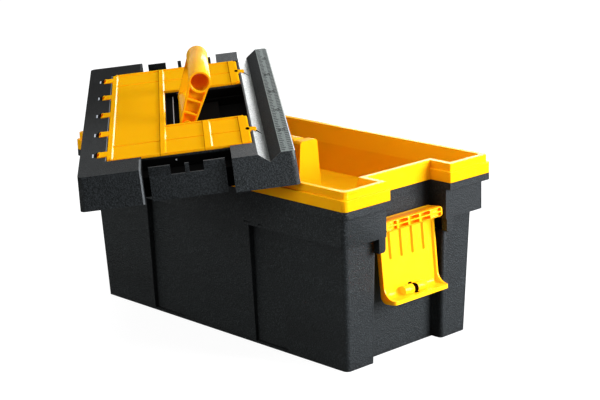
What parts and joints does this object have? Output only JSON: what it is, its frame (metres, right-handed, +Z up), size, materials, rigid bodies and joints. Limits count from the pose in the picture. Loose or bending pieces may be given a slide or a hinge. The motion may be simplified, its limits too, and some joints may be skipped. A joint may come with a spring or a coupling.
{
  "type": "tool case",
  "caption": "Hard plastic tool case with end latches, a lift-out tote tray and a lift-off lid that lies across it, with a small-parts organiser and a folding carry handle.",
  "frame": {"origin": "on the ground at the centre of the case's base", "axes": "+X runs along the case to the end whose latch is clear of the lid, +Y runs across the case, +Z is up"},
  "size_m": [0.5917, 0.4848, 0.3228],
  "materials": {
    "black_plastic": "fine leather grain, satin",
    "yellow_plastic": "smooth, semi-gloss",
    "steel": "zinc plated"
  },
  "bodies": {
    "tub": {"tub": "black_plastic", "latch_pins_right": "steel", "latch_pins_left": "steel"},
    "tray": {"tote_tray": "yellow_plastic", "tote_handle": "yellow_plastic"},
    "lid": {"lid_shell": "black_plastic", "handle_pin_near": "steel", "handle_pin_far": "steel"},
    "cover": {"organiser_cover": "yellow_plastic"},
    "handle": {"carry_handle": "yellow_plastic"},
    "right_latch": {"latch_right": "yellow_plastic"},
    "left_latch": {"latch_left": "yellow_plastic"}
  },
  "joints": [
    {"name": "tray_lift", "type": "slide", "parent": "tub", "child": "tray", "axis": [0, 0, 1], "range_m": [0, 0.12]},
    {"name": "lid_lift", "type": "slide", "parent": "tray", "child": "lid", "axis": [0, 0, 1], "range_m": [0, 0.25]},
    {"name": "handle_fold", "type": "hinge", "parent": "lid", "child": "handle", "pos_m": [-0.08585, -0.06502, 0.25369], "axis": [-0.7771, 0.6256, 0.0688], "range_deg": [-23, 70]},
    {"name": "cover_open", "type": "hinge", "parent": "lid", "child": "cover", "pos_m": [-0.14922, -0.14331, 0.24971], "axis": [0.7771, -0.6256, -0.0688], "range_deg": [0, 105]},
    {"name": "latch_right_turn", "type": "hinge", "parent": "tub", "child": "right_latch", "pos_m": [0.224, 0, 0.159], "axis": [0, -1, 0], "range_deg": [-8, 174.6]},
    {"name": "latch_left_turn", "type": "hinge", "parent": "tub", "child": "left_latch", "pos_m": [-0.224, 0, 0.159], "axis": [0, 1, 0], "range_deg": [-8, 125]}
  ]
}
